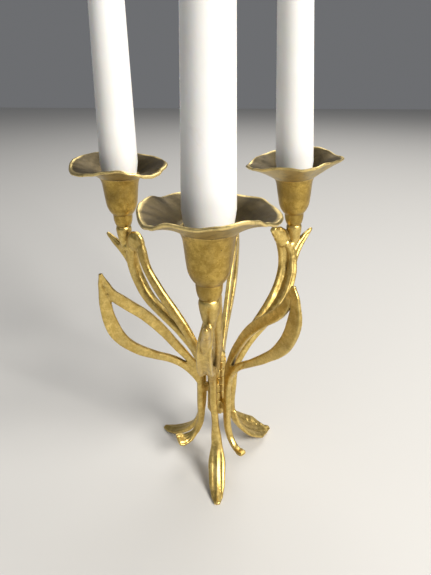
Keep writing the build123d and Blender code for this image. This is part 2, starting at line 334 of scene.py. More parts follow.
def socket_matrix(arm):
    """Places a turned piece on its socket: origin at the base of the bud, Z up the candle."""
    turn, tilt = radians(socket_azimuth(arm)), radians(arm["lean"])
    z_axis = Vector((-sin(tilt) * cos(turn), -sin(tilt) * sin(turn), cos(tilt)))
    x_axis = Vector((cos(tilt) * cos(turn), cos(tilt) * sin(turn), sin(tilt)))
    y_axis = z_axis.cross(x_axis)
    matrix = Matrix((x_axis, y_axis, z_axis)).transposed().to_4x4()
    matrix.translation = Vector((arm["reach"] * cos(turn), arm["reach"] * sin(turn), BUD_BASE)) * MM
    return matrix


def level_height(level):
    """Height of the underside of a knuckle at this level of the stack, in mm."""
    return STACK_BOTTOM + level * KNUCKLE_PITCH


# --- Materials -----------------------------------------------------------------------------------

def new_group(name, inputs, outputs):
    """An empty shader node group with these sockets: (name, kind, default)."""
    group = bpy.data.node_groups.new(name, "ShaderNodeTree")
    for socket_name, kind, default in inputs:
        socket = group.interface.new_socket(socket_name, in_out="INPUT", socket_type=kind)
        if default is not None:
            socket.default_value = default
    for socket_name, kind in outputs:
        group.interface.new_socket(socket_name, in_out="OUTPUT", socket_type=kind)
    return group


def blank_material(name):
    """A new material without nodes, with the wires to build it and its Object coordinates."""
    material = bpy.data.materials.new(name)
    material.use_nodes = True
    material.node_tree.nodes.clear()
    w = Wires(material.node_tree)
    return material, w, w.node("ShaderNodeTexCoord").outputs["Object"]


class Wires:
    """Short words for adding and joining nodes. An input named i0, i1 and so on is taken by its number."""

    def __init__(self, tree):
        self.tree = tree
        self.column = 0

    def node(self, kind, settings=None, **inputs):
        node = self.tree.nodes.new(kind)
        node.location = (self.column * 190, -60 * (self.column % 5))
        self.column += 1
        for key, value in (settings or {}).items():
            setattr(node, key, value)
        for key, value in inputs.items():
            key = key.replace("_", " ")
            socket = node.inputs[int(key[1:])] if key[0] == "i" and key[1:].isdigit() else node.inputs[key]
            if isinstance(value, bpy.types.NodeSocket):
                self.tree.links.new(value, socket)
            else:
                socket.default_value = value
        return node

    def math(self, operation, first, second=0.0, third=0.0, clamp=False):
        settings = {"operation": operation, "use_clamp": clamp}
        return self.node("ShaderNodeMath", settings, i0=first, i1=second, i2=third).outputs[0]

    def noise(self, vector, scale, detail=4.0, roughness=0.55, distortion=0.0):
        node = self.node(
            "ShaderNodeTexNoise", Vector=vector, Scale=scale, Detail=detail, Roughness=roughness,
            Distortion=distortion,
        )
        return node.outputs["Fac"]

    def span(self, value, low, high, to_low=0.0, to_high=1.0):
        node = self.node("ShaderNodeMapRange", {"clamp": True, "interpolation_type": "SMOOTHSTEP"})
        self.tree.links.new(value, node.inputs["Value"])
        node.inputs["From Min"].default_value = low
        node.inputs["From Max"].default_value = high
        node.inputs["To Min"].default_value = to_low
        node.inputs["To Max"].default_value = to_high
        return node.outputs[0]

    def blend(self, factor, first, second, mode="MIX"):
        node = self.node("ShaderNodeMix", {"data_type": "RGBA", "blend_type": mode})
        for index, value in ((0, factor), (6, first), (7, second)):
            if isinstance(value, bpy.types.NodeSocket):
                self.tree.links.new(value, node.inputs[index])
            else:
                node.inputs[index].default_value = value
        return node.outputs[2]


def build_aged_brass_group():
    """Tarnish, hand wear, pits and scratches of old cast brass, with painted shade and painted sheen."""
    group = new_group(
        "Aged brass",
        [
            ("Vector", "NodeSocketVector", None),
            ("Bright", "NodeSocketColor", (0.80, 0.56, 0.20, 1)),
            ("Mellow", "NodeSocketColor", (0.60, 0.40, 0.12, 1)),
            ("Tarnish", "NodeSocketColor", (0.16, 0.09, 0.03, 1)),
            ("Worn", "NodeSocketColor", (0.86, 0.66, 0.22, 1)),
            ("Tarnish Amount", "NodeSocketFloat", 0.4),
            ("Grime", "NodeSocketFloat", 0.9),
            ("Edge Wear", "NodeSocketFloat", 0.6),
            ("Pits", "NodeSocketFloat", 0.5),
            ("Roughness", "NodeSocketFloat", 0.3),
            ("Grain Scale", "NodeSocketFloat", 1.0),
        ],
        [("Color", "NodeSocketColor"), ("Roughness", "NodeSocketFloat"), ("Height", "NodeSocketFloat"),
         ("Metallic", "NodeSocketFloat")],
    )
    w = Wires(group)
    put = w.node("NodeGroupInput").outputs
    scale = {"operation": "SCALE"}
    place = w.node("ShaderNodeVectorMath", scale, Vector=put["Vector"], Scale=put["Grain Scale"]).outputs[0]
    clouds = w.noise(place, 55.0, 5.0, 0.6, 0.4)
    mottle = w.noise(place, 320.0, 5.0, 0.65, 0.3)
    grain = w.noise(place, 1500.0, 3.0, 0.6)
    sharp = w.node("ShaderNodeNewGeometry").outputs["Pointiness"]
    # Painted shade: concave places, found from pointiness, are darkened below
    hollow = w.span(sharp, 0.485, 0.43)
    edge = w.span(sharp, 0.51, 0.60)
    # Tarnish gathers in cloudy patches; hollows and sheltered places are darkened as painted shade
    cloudy = w.math("ADD", w.math("MULTIPLY", clouds, 0.65), w.math("MULTIPLY", mottle, 0.35))
    patches = w.span(cloudy, 0.40, 0.66)
    dark = w.math("MULTIPLY", patches, put["Tarnish Amount"])
    # Painted shade: ambient occlusion darkens the colour where the surface is sheltered
    shelter = w.node("ShaderNodeAmbientOcclusion", {"samples": 6, "only_local": True}, Distance=0.009)
    sheltered = w.math("MULTIPLY", w.span(shelter.outputs["AO"], 0.82, 0.40), put["Grime"])
    dark = w.math("ADD", dark, w.math("MULTIPLY", hollow, 0.6))
    dark = w.math("ADD", dark, sheltered, clamp=True)
    # The mesh's attribute brightens rubbed places, and paints a sheen on a pan's underside
    painted = w.node("ShaderNodeAttribute", {"attribute_name": "worn"}).outputs["Fac"]
    rub_and_sheen = w.math("MULTIPLY", painted, w.span(mottle, 0.30, 0.55, 0.55, 1.0))
    worn = w.math("MAXIMUM", w.math("MULTIPLY", edge, put["Edge Wear"]), rub_and_sheen, clamp=True)
    speckle = w.span(w.math("ADD", mottle, w.math("MULTIPLY", grain, 0.3)), 0.50, 0.86)
    warm = w.blend(speckle, put["Mellow"], put["Bright"])
    aged = w.blend(dark, warm, put["Tarnish"])
    brass = w.blend(worn, aged, put["Worn"])
    # Pits are small dark holes, few and uneven
    cells = w.node("ShaderNodeTexVoronoi", {"feature": "F1"}, Vector=place, Scale=430.0, Randomness=1.0)
    pit = w.span(cells.outputs["Distance"], 0.16, 0.05)
    chosen = w.span(w.noise(place, 210.0, 2.0), 0.56, 0.64)
    pit = w.math("MULTIPLY", w.math("MULTIPLY", pit, chosen), put["Pits"], clamp=True)
    brass = w.blend(w.math("MULTIPLY", pit, 0.8), brass, (0.05, 0.035, 0.02, 1))
    # Fine scratches run in two directions
    stretch = w.node("ShaderNodeMapping", Vector=place, Rotation=(0.5, 0.9, 0.3), Scale=(1.0, 14.0, 14.0))
    scratch = w.span(w.noise(stretch.outputs[0], 160.0, 3.0, 0.7), 0.62, 0.74)
    rough = w.math("ADD", put["Roughness"], w.math("MULTIPLY", dark, 0.20))
    rough = w.math("ADD", rough, w.math("MULTIPLY", w.math("SUBTRACT", mottle, 0.5), 0.35))
    rough = w.math("SUBTRACT", rough, w.math("MULTIPLY", worn, 0.10))
    rough = w.math("MAXIMUM", w.math("ADD", rough, w.math("MULTIPLY", scratch, 0.08)), 0.12)
    height = w.math("MULTIPLY", mottle, 0.55)
    height = w.math("ADD", height, w.math("MULTIPLY", grain, 0.22))
    height = w.math("SUBTRACT", height, w.math("MULTIPLY", pit, 1.2))
    height = w.math("SUBTRACT", height, w.math("MULTIPLY", scratch, 0.10))
    metallic = w.math("SUBTRACT", 1.0, w.math("MULTIPLY", dark, 0.25))
    w.node("NodeGroupOutput", Color=brass, Roughness=rough, Height=height, Metallic=metallic)
    return group


def brass_material(name, values, bump=0.12):
    """One brass finish: the shared group's masks feed one metal shader."""
    material, w, place = blank_material(name)
    aged = w.node("ShaderNodeGroup", {"node_tree": bpy.data.node_groups["Aged brass"]}, Vector=place)
    for key, value in values.items():
        aged.inputs[key].default_value = value
    relief = w.node("ShaderNodeBump", Strength=bump, Distance=0.0006, Height=aged.outputs["Height"])
    shader = w.node(
        "ShaderNodeBsdfPrincipled",
        Base_Color=aged.outputs["Color"],
        Roughness=aged.outputs["Roughness"],
        Metallic=aged.outputs["Metallic"],
        Normal=relief.outputs[0],
    )
    w.node("ShaderNodeOutputMaterial", Surface=shader.outputs[0])
    return material


def build_wax_material():
    """White candle wax: faint yellowing, smudges and soft rubbed patches."""
    material, w, place = blank_material("candle wax")
    clouds = w.span(w.noise(place, 28.0, 3.0, 0.5), 0.35, 0.75)
    long_marks = w.node("ShaderNodeMapping", Vector=place, Scale=(1.0, 1.0, 0.12))
    streak = w.noise(long_marks.outputs[0], 260.0, 4.0, 0.6)
    smudge = w.span(w.noise(place, 75.0, 4.0, 0.6, 0.6), 0.64, 0.80)
    base = w.blend(clouds, (0.86, 0.855, 0.835, 1), (0.82, 0.81, 0.775, 1))
    base = w.blend(w.math("MULTIPLY", smudge, 0.35), base, (0.66, 0.60, 0.50, 1))
    rough = w.math("ADD", w.math("MULTIPLY", streak, 0.22), w.math("MULTIPLY", smudge, 0.12))
    rough = w.math("ADD", rough, 0.24)
    swell = w.noise(place, 90.0, 2.0)
    height = w.math("ADD", w.math("MULTIPLY", streak, 0.5), w.math("MULTIPLY", swell, 0.8))
    relief = w.node("ShaderNodeBump", Strength=0.10, Distance=0.0005, Height=height)
    shader = w.node("ShaderNodeBsdfPrincipled", Base_Color=base, Roughness=rough, Normal=relief.outputs[0])
    shader.inputs["Subsurface Weight"].default_value = 0.35
    shader.inputs["Subsurface Radius"].default_value = (1.0, 0.75, 0.5)
    shader.inputs["Subsurface Scale"].default_value = 0.004
    shader.inputs["Specular IOR Level"].default_value = 0.45
    w.node("ShaderNodeOutputMaterial", Surface=shader.outputs[0])
    return material


def build_wick_material():
    """Unburnt cotton wick."""
    material, w, place = blank_material("cotton wick")
    fibre = w.noise(place, 2600.0, 3.0, 0.7)
    tone = w.blend(w.span(fibre, 0.3, 0.7), (0.62, 0.56, 0.45, 1), (0.88, 0.85, 0.78, 1))
    relief = w.node("ShaderNodeBump", Strength=0.4, Distance=0.0002, Height=fibre)
    shader = w.node("ShaderNodeBsdfPrincipled", Base_Color=tone, Roughness=0.85, Normal=relief.outputs[0])
    shader.inputs["Sheen Weight"].default_value = 0.3
    w.node("ShaderNodeOutputMaterial", Surface=shader.outputs[0])
    return material


def build_floor_material():
    """Plain pale floor."""
    material = bpy.data.materials.new("pale floor")
    material.use_nodes = True
    shader = material.node_tree.nodes["Principled BSDF"]
    shader.inputs["Base Color"].default_value = (0.60, 0.59, 0.57, 1)
    shader.inputs["Roughness"].default_value = 0.7
    return material


def finish_with(piece, material_name):
    """Give a piece one finish in place of any others."""
    piece.data.materials.clear()
    piece.data.materials.append(bpy.data.materials[material_name])


def place_piece(piece, body, slot, *nodes):
    """Hang a finished piece on its body and let it stand for its nodes."""
    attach(piece, body)
    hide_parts(*nodes)


# --- Castings ------------------------------------------------------------------------------------

def reach_out(points, reach, drawn_for):
    """Stretch pattern points outwards from the stem to suit a socket radius."""
    stretch = (reach - STEM_RADIUS) / (drawn_for - STEM_RADIUS)
    return [(STEM_RADIUS + (p[0] - STEM_RADIUS) * stretch,) + tuple(p[1:]) for p in points]


def turn_about_rod(piece, azimuth_turn, start, end):
    """Turn a casting about the rod, easing in from one height to another, in mm."""
    for vertex in piece.data.vertices:
        amount = smooth_step((vertex.co.z / MM - start) / (end - start))
        if amount > 0:
            vertex.co = Matrix.Rotation(radians(azimuth_turn) * amount, 3, "Z") @ vertex.co


def knuckle(level):
    """One ring of the hinge round the rod, with softened rims."""
    low = level_height(level)
    high = low + KNUCKLE_HEIGHT
    profile = [
        (3.56, low + 0.3), (3.9, low), (5.6, low), (6.0, low + 0.15), (6.2, low + 0.6), (6.25, low + 3.0),
        (6.2, high - 0.6), (6.0, high - 0.15), (5.6, high), (3.9, high), (3.56, high - 0.3),
    ]
    return ring_lathe("knuckle", profile, 64)


def web(level, thickness):
    """The short web that ties a knuckle to its stem, drawn across the casting."""
    middle = level_height(level) + KNUCKLE_HEIGHT / 2
    half = KNUCKLE_HEIGHT / 2
    points = [(4.6, middle, 0), (8, middle, 0), (STEM_RADIUS, middle, 0)]
    depths = [(0, thickness / 2 * 0.9), (1, thickness / 2)]
    return bar("web", points, [(0, half), (1, half)], depths, rings=6, corner=0.45)


# Two patterns for the strands: radius, height and place across the casting, for a socket at this radius
STRANDS = {
    "plain": {
        "reach": 65.5,
        "outer": [
            (55.4, 158.0, -1.8), (59.4, 152.6, -0.6), (61.9, 145, 1.2), (62.3, 134, 2.8),
            (58.8, 123.4, 3.2), (52.2, 112.8, 3.0), (39.8, 103.0, 2.4), (27.4, 93.2, 2.0),
            (17.8, 82.6, 1.9),
        ],
        "outer_widths": [(0, 2.4), (0.03, 3.6), (0.08, 4.3), (0.15, 4.3), (0.22, 4.2), (0.31, 4.0),
                         (0.40, 3.5)],
        "hub": [
            (12, 72, 1.2), (13.4, 80, 0.4), (17.8, 90.8, -0.4), (24.0, 101.6, -1.2), (29.9, 110.4, -1.8),
            (35.8, 118.6, -2.2), (41.9, 127.8, -2.5), (48.0, 138.8, -2.6), (50.6, 149, -2.6),
            (51.6, 156.5, -2.4),
        ],
        "hub_widths": [(0, 2.0), (0.2, 3.2), (0.35, 3.7), (0.5, 3.7), (0.65, 3.4), (0.8, 3.0), (0.92, 3.3),
                       (1, 2.4)],
        "crown": [(56.2, 149.2, -1.8), (55.6, 153, -2.2), (54.4, 157, -2.4), (52.8, 161.0, -2.4)],
        "crown_widths": [(0, 2.8), (0.25, 6.0), (0.6, 6.5), (0.85, 4.8), (1, 2.2)],
        "prong": [(60, 129.5, 2.6), (63.8, 138.2, 2.2), (68.0, 145.4, 1.4), (73.9, 150.6, 0.9),
                  (79.9, 155.8, 0.6)],
    },
    "bowed": {
        "reach": 62.4,
        "outer": [
            (55.6, 151.5, -0.4), (58.6, 147.5, 0.6), (59.6, 143, 1.4), (58.8, 134, 2.4), (55.2, 125, 2.8),
            (50.4, 117.4, 3.0), (43.4, 109.8, 2.8), (34.8, 102.0, 2.4), (26, 93.4, 2.0), (17.8, 82.6, 1.9),
        ],
        "outer_widths": [(0, 2.0), (0.03, 2.8), (0.08, 3.2), (0.15, 3.3), (0.22, 3.3), (0.31, 3.3),
                         (0.40, 3.2)],
        "hub": [
            (12, 72, 1.2), (13.4, 80, 0.4), (21.2, 91, -0.4), (31.2, 101, -1.2), (40.4, 110.4, -1.8),
            (48.0, 119.4, -2.2), (53.2, 128.4, -2.5), (55.8, 138, -2.6), (55.0, 148, -2.6),
            (50.8, 156.6, -2.4), (45.2, 162.4, -2.2),
        ],
        "hub_widths": [(0, 2.0), (0.2, 3.0), (0.5, 3.2), (0.7, 3.3), (0.85, 3.9), (0.95, 3.4), (1, 2.2)],
        "crown": [(57.6, 148.4, -1.2), (55.4, 152.2, -2.0), (52.2, 156.8, -2.4), (48.0, 161.8, -2.4)],
        "crown_widths": [(0, 2.6), (0.25, 5.2), (0.6, 5.2), (0.85, 3.9), (1, 1.8)],
        "prong": [(56.4, 130, 2.6), (59.4, 138.2, 2.2), (64.0, 146, 1.6), (70.0, 151.8, 1.0),
                  (77.8, 157.4, 0.6)],
    },
}
# From the ankle down to the toe
FOOT_LINE = [
    (12.7, 71, 1.6), (11.7, 58, 1.6), (11.6, 40, 0.4), (14.2, 26, 0), (20.5, 15.2, 0), (29, 7.6, 0),
    (38.5, 2.3, 0), (46.2, 0.9, 0),
]


def make_arm_casting(key, arm):
    """One arm: foot, stem, the two strands, the head, the fork, the bud and the knuckle."""
    pattern = STRANDS[arm["strands"]]

    def drawn(line):
        return reach_out(pattern[line], arm["reach"], pattern["reach"])

    # The outer strand runs from the head down through the stem to the toe, with a channel down its edge
    main = bar(
        "main", drawn("outer") + FOOT_LINE,
        pattern["outer_widths"] + [(0.50, 2.9), (0.62, 2.55), (0.74, 2.4), (0.86, 2.2), (0.95, 1.8),
                                   (1, 1.2)],
        [(0, 2.0), (0.05, 2.9), (0.12, 3.7), (0.2, 4.0), (0.3, 3.6), (0.42, 3.0), (0.50, 2.5), (0.60, 2.35),
         (0.72, 2.4), (0.79, 3.6), (0.87, 5.9), (0.93, 5.4), (0.97, 4.0), (1, 1.9)],
        rings=120, corner=0.8, valleys=[(0.02, 0.40, -0.30, 0.22, 0.8)], channel=(0.03, 0.47, 3.0), sides=48,
    )
    inner = bar(
        "inner", drawn("hub"), pattern["hub_widths"],
        [(0, 1.6), (0.2, 2.4), (0.5, 2.7), (0.8, 2.7), (0.94, 2.7), (1, 1.8)], rings=60, corner=0.85,
        valleys=[(0.5, 1.1, 0.55, 0.3, 0.8)],
    )
    # The strands close in a rounded head over the slit
    crown = bar(
        "crown", drawn("crown"), pattern["crown_widths"],
        [(0, 2.0), (0.3, 2.9), (0.7, 2.8), (1, 1.6)], rings=30, corner=0.9,
    )
    prong = bar(
        "prong", drawn("prong"), [(0, 2.2), (0.25, 3.3), (0.5, 3.4), (0.75, 2.6), (0.93, 1.5), (1, 0.8)],
        [(0, 2.2), (0.3, 2.6), (0.6, 2.3), (0.93, 1.4), (1, 0.8)], rings=40, corner=0.8,
        valleys=[(0.05, 0.9, 0.1, 0.28, 0.9)],
    )
    # A saddle carries the bud between the head and the prong
    saddle = bar(
        "saddle", reach_out([(59.5, 147, 0), (64.5, 149.4, 0), (69.5, 149.6, 0.4)], arm["reach"], 65.5),
        [(0, 2.4), (0.5, 3.0), (1, 2.2)], [(0, 2.4), (0.5, 3.0), (1, 2.0)], rings=16, corner=0.9,
    )
    link = web(arm["level"], 4.6)
    casting = join("casting", [main, inner, crown, prong, saddle, link])
    settle(casting, casting_matrix(arm["azimuth"]))
    turn_about_rod(casting, arm["swing"], *LOOP_SWING)
    turn_about_rod(casting, arm["foot_turn"], *FOOT_TURN)
    bud = lathe(
        "bud",
        [(0, -4.2), (1.6, -3.9), (2.7, -3), (3.3, -1.5), (3.9, 1), (4.5, 4), (4.9, 6.6), (4.95, 8.2),
         (4.6, 9.4), (4.2, 10.0), (0, 10.02)], 48,
    )
    settle(bud, socket_matrix(arm))
    casting = join("casting", [casting, bud])
    fuse(casting, ARM_VOXEL, 3)
    carve_foot(casting, arm)
    ring = knuckle(arm["level"])
    smooth(ring, 50)
    piece = join(f"arm_{key}_casting", [casting, ring])
    drop_to_table(piece)
    return piece


def carve_foot(piece, arm):
    """Press two lengthwise grooves into the foot's upper face, and raise its far wing on the broad foot."""
    turn = radians(arm["azimuth"] + arm["foot_turn"])
    outwards = Vector((cos(turn), sin(turn), 0))
    across = Vector((-sin(turn), cos(turn), 0))
    wing = arm["foot_wing"]
    ankle_height, heel = 34.0, 9.0
    groove_place, groove_depth, crest_height, spread = 2.2, 0.8, 0.3, 0.9
    for vertex in piece.data.vertices:
        out, side = vertex.co.dot(outwards) / MM, vertex.co.dot(across) / MM
        if vertex.co.z > ankle_height * MM or out < heel:
            continue
        span = smooth_step((out - 14) / 8) * smooth_step((45.5 - out) / 7)
        facing = max(0.0, vertex.normal.z * 0.8 + vertex.normal.dot(outwards) * 0.2)
        groove = exp(-(((abs(side) - groove_place) / spread) ** 2))
        crest = exp(-((side / spread) ** 2))
        if facing > 0.05:
            vertex.co -= vertex.normal * (groove * groove_depth - crest * crest_height) * span * facing * MM
        if wing:
            near_stem = smooth_step((out - 10) / 5) * smooth_step((47 - out) / 13)
            vertex.co += across * side * 0.75 * near_stem * MM
            vertex.co.z += wing * smooth_step((side - 0.3) / 4.5) * near_stem * MM


def drop_to_table(piece):
    """Flatten what would reach below the table."""
    for vertex in piece.data.vertices:
        if vertex.co.z < 0.0:
            vertex.co.z = 0.0


LEAF_LINES = {
    "open": {
        "lower": [
            (12, 68, 0), (16.4, 76, 0), (22.4, 84, 0), (30, 90.4, 0), (41, 96.6, 0), (52, 104.2, 0),
            (60.3, 114, 0), (64.6, 126, 0), (66, 138, 0), (66.4, 148, 0), (66.4, 155.4, 0),
        ],
        "upper": [
            (11.6, 70, 0), (13.8, 79.6, 0), (19.4, 88.8, 0), (27.4, 101, 0), (34.8, 112.6, 0),
            (44.6, 125.2, 0), (54.6, 134.8, 0), (62.6, 143.6, 0), (66.2, 154.4, 0),
        ],
        "lower_widths": [(0, 2.2), (0.15, 2.4), (0.30, 2.2), (0.5, 3.0), (0.68, 4.0), (0.82, 3.4),
                         (0.93, 2.2), (1, 1.1)],
        "fold": [(62.6, 138.0), (64.2, 143), (65.6, 148), (66.2, 153)],
    },
    "closed": {
        "lower": [
            (11.8, 68, 0), (14, 78, 0), (20.5, 87.6, 0), (33, 98.6, 0), (45, 109.5, 0), (54.4, 119.8, 0),
            (60.2, 131, 0), (62.4, 142, 0), (61.6, 152, 0), (59.4, 159.6, 0),
        ],
        "upper": [
            (11.6, 70, 0), (12.2, 80, 0), (15.6, 92, 0), (22, 106, 0), (30, 119, 0), (40.4, 130.4, 0),
            (50, 139.4, 0), (56.4, 148.4, 0), (59.2, 158.6, 0),
        ],
        "lower_widths": [(0, 2.2), (0.15, 2.4), (0.30, 2.2), (0.5, 2.9), (0.68, 4.1), (0.82, 4.2),
                         (0.93, 2.8), (1, 1.3)],
        "fold": [(58.5, 141), (59, 147), (59.3, 153)],
    },
}


def make_leaf_casting(key, leaf):
    """One hoop: the open leaf with its folded tip, the stem, the curled end and the knuckle."""
    lines = LEAF_LINES[leaf["lines"]]
    rim_depths = [(0, 2.0), (0.2, 1.9), (0.5, 1.65), (0.8, 1.6), (1, 0.9)]
    rim_low = bar("rim_low", lines["lower"], lines["lower_widths"], rim_depths, rings=70, corner=0.34)
    rim_high = bar(
        "rim_high", lines["upper"],
        [(0, 2.0), (0.15, 2.2), (0.35, 2.7), (0.6, 3.2), (0.8, 3.2), (0.92, 2.6), (1, 1.0)], rim_depths,
        rings=70, corner=0.34,
    )
    fan = leaf["fan"]
    stem = bar(
        "stem", [(12.2, 76, 0), (11.6, 66, 0), (11.6, 50, 0), (11.6, 38, 0), (13.4, 29, 0), (17.4, 22.6, 0),
                 (22.8, 19.6, 0), (29.4, 20.8, 0)],
        [(0, 2.2), (0.5, 2.4), (0.8, 2.0), (0.93, 1.6), (0.98, 1.5), (1, 1.0)],
        [(0, 2.0), (0.5, 2.2), (0.78, 2.1), (0.89, fan * 0.75), (0.95, fan), (0.985, fan * 0.95),
         (1, fan * 0.75)],
        rings=80, corner=0.6, scallop=(0.8, 4, 1.0) if fan > 3.5 else None, sides=48,
    )
    casting = join("casting", [rim_low, rim_high, stem, web(leaf["level"], 4.2)])
    fuse(casting, LEAF_VOXEL, 1)
    crease_leaf(casting, lines["fold"])
    settle(casting, casting_matrix(leaf["azimuth"]))
    ring = knuckle(leaf["level"])
    smooth(ring, 50)
    return join(f"leaf_{key}_casting", [casting, ring])


def crease_leaf(piece, fold):
    """Cut the fold that runs from the opening up into the tip, and a shallow one down to the stem."""
    root = [(27.5, 94.5), (22.5, 87.5), (18, 80.5)]
    spread = 0.8
    for vertex in piece.data.vertices:
        x, y = vertex.co.x / MM, vertex.co.y / MM
        for line, depth in ((fold, 0.7), (root, 0.55)):
            for (ax, ay), (bx, by) in zip(line, line[1:]):
                length = (bx - ax) ** 2 + (by - ay) ** 2
                step = min(max(((x - ax) * (bx - ax) + (y - ay) * (by - ay)) / length, 0), 1)
                off = sqrt((x - ax - step * (bx - ax)) ** 2 + (y - ay - step * (by - ay)) ** 2)
                if off < spread * 2:
                    side = 1 if vertex.co.z > 0 else -1
                    vertex.co.z -= side * depth * exp(-((off / spread) ** 2)) * 0.5 * MM


# --- Cups, pans, candles -------------------------------------------------------------------------

CUP_OUTSIDE = [
    (4.5, 10.2), (4.9, 10.7), (5.3, 11.8), (5.75, 13.6), (5.95, 15.4), (6.0, 16.8), (6.05, 17.6),
    (6.5, 18.1), (7.1, 18.8), (7.9, 20.0), (8.7, 21.6), (9.25, 23.2), (9.6, 25.0), (9.9, 27.5),
    (10.2, 30.0), (10.45, 32.5), (10.7, 35.0), (11.0, 37.4), (11.5, 39.2), (12.1, 40.5), (12.55, 41.15),
]
CUP_INSIDE = [
    (12.3, 41.32), (11.54, 41.34), (11.54, 42.7), (11.4, 42.88), (10.6, 42.88), (10.46, 42.7), (10.2, 38),
    (9.9, 34), (9.3, 30), (8.8, 26), (8.0, 23.4), (6.6, 21.4), (4.6, 20.25), (3.0, 20.2), (2.25, 20.2),
    (2.25, 10.2),
]


def make_cup_shell():
    """The bell of one cup with its neck, collar step, flared lip and hollow inside."""
    return ring_lathe("cup", CUP_OUTSIDE + CUP_INSIDE, 112)


# The waves begin at this radius of a pan and are drawn for the rim this much further out, in mm
PAN_THROAT = 14
PAN_WAVE_RUN = 14.8
# The bare band on a pan's rim begins at this radius and is full this much further out, in mm
PAN_BAND = 26.9
PAN_BAND_RUN = 0.9
# Top of the candle's wax above the base of the bud, in mm
CANDLE_TOP = 272
# The rim's waves on each pan: (direction round the pan in degrees, lift in mm)
PAN_WAVES = {
    "front": [(0, -2.2), (24, -1.3), (38, 0), (58, -0.8), (90, 0.4), (123, 0.6), (142, 0), (157, 2.0),
              (173, 1.2), (190, -0.4), (206, -2.2), (215, -2.6), (226, -1.6), (243, 1.4), (265, 0.3),
              (280, 1.2), (300, 2.5), (312, 1.6), (323, -0.6), (337, -2.4), (360, -2.2)],
    "right": [(0, 0.6), (19, -0.4), (38, 1.3), (52, 2.3), (80, 1.6), (111, 1.1), (126, 0.2), (142, 0.2),
              (164, -2.0), (187, 0), (201, 0.6), (217, 1.8), (244, 4.2), (256, 4.0), (273, 2.6), (287, 3.1),
              (300, 4.4), (321, 3.3), (339, 2.2), (360, 0.6)],
    "left": [(0, -0.8), (33, -1.2), (60, -0.8), (90, 0), (136, 1.2), (152, 0.8), (171, 0), (189, -1.5),
             (202, -3.4), (217, -3.6), (234, -3.0), (251, -1.8), (268, 0), (284, 0.9), (299, -1.2),
             (315, -3.6), (324, -4.2), (333, -3.6), (346, -1.4), (360, -0.8)],
}


def pan_wave(key, angle):
    """Lift of the pan's rim and its change of radius, in mm, at a direction in degrees."""
    lift = along(PAN_WAVES[key], angle % 360)
    push = -0.25 * lift + 0.5 * cos(6 * radians(angle) + 0.6)
    return lift, push


def make_pan(key, arm):
    """One lily-shaped drip pan: a spun dish whose rim is beaten into waves and rolled at the edge."""
    top, bottom = [], []
    steps = 14
    for step in range(steps + 1):
        part = step / steps
        radius = 13.0 + 14.4 * part
        height = 41.4 + 7.0 * (1.5 * part - 0.5 * part * part)
        bottom.append((radius, height))
        top.append((radius - 0.2 * part, height + 1.15 + 0.35 * part * part))
    edge = [(28.1, 48.5), (28.55, 48.9), (28.7, 49.4), (28.5, 49.95), (28.0, 50.15), (27.6, 50.1)]
    inner = [(12.0, 42.55), (11.64, 42.4), (11.64, 41.6), (12.0, 41.4)]
    pan = ring_lathe("pan", inner[::-1][:1] + bottom + edge + top[::-1] + inner[:3], 144)
    turn = radians(socket_azimuth(arm))
    for vertex in pan.data.vertices:
        radius = vertex.co.xy.length / MM
        if radius < PAN_THROAT:
            continue
        angle = degrees(atan2(vertex.co.y, vertex.co.x) + turn)
        lift, push = pan_wave(key, angle)
        part = (radius - PAN_THROAT) / PAN_WAVE_RUN
        vertex.co.z += lift * part ** 1.7 * MM
        vertex.co.x *= 1 + push * part ** 2 / radius
        vertex.co.y *= 1 + push * part ** 2 / radius
    # Bright rubbed band on the rim, and a painted sheen on the pan's downward-facing underside
    worn = pan.data.attributes.new("worn", "FLOAT", "POINT")
    for vertex in pan.data.vertices:
        radius = vertex.co.xy.length / MM
        # Painted sheen: faces turned down are brightened
        underside = 0.55 if vertex.normal.z < -0.2 else 0.0
        worn.data[vertex.index].value = max(underside, smooth_step((radius - PAN_BAND) / PAN_BAND_RUN))
    pan.data.update()
    settle(pan, socket_matrix(arm))
    return pan


def make_candle_solid():
    """One taper: shaved foot, slight swell over the cup, long taper and a soft shoulder at the tip."""
    foot_radius, narrowing, foot, length, steps = 11.18, 5.25, 50.0, 219.0, 24
    profile = [
        (0, 22.02), (3.9, 22.05), (4.6, 22.5), (6.9, 25.0), (8.0, 30.0), (9.5, 38.2), (10.1, 42.6),
        (10.6, 45.6),
    ]
    for step in range(steps + 1):
        part = step / steps
        profile.append((foot_radius - narrowing * part, foot + length * part))
    profile += [(5.75, 270.4), (5.3, 271.4), (4.3, 271.85), (2.4, 271.98), (0, 272.0)]
    return lathe("candle", profile, 72)


def make_wick_strands():
    """Three plied strands twisted round each other, waxed stiff and slightly bowed."""
    foot, length, steps = 262.0, 17.6, 28
    strand_radius, ply_radius, steps_per_turn = 0.42, 0.36, 9
    strands = []
    for strand in range(3):
        points = []
        for step in range(steps + 1):
            height = foot + length * step / steps
            angle = 2 * pi * (strand / 3 + step / steps_per_turn)
            bow = 0.5 * smooth_step((height - CANDLE_TOP) / 8)
            points.append((ply_radius * cos(angle) + bow, ply_radius * sin(angle), height))
        curve = guide(points, "MINIMUM", 4)
        curve.data.bevel_depth = strand_radius * MM
        curve.data.bevel_resolution = 3
        curve.data.use_fill_caps = True
        bpy.ops.object.convert(target="MESH")
        strands.append(bpy.context.object)
    return join("wick", strands)


# --- Settings ------------------------------------------------------------------------------------

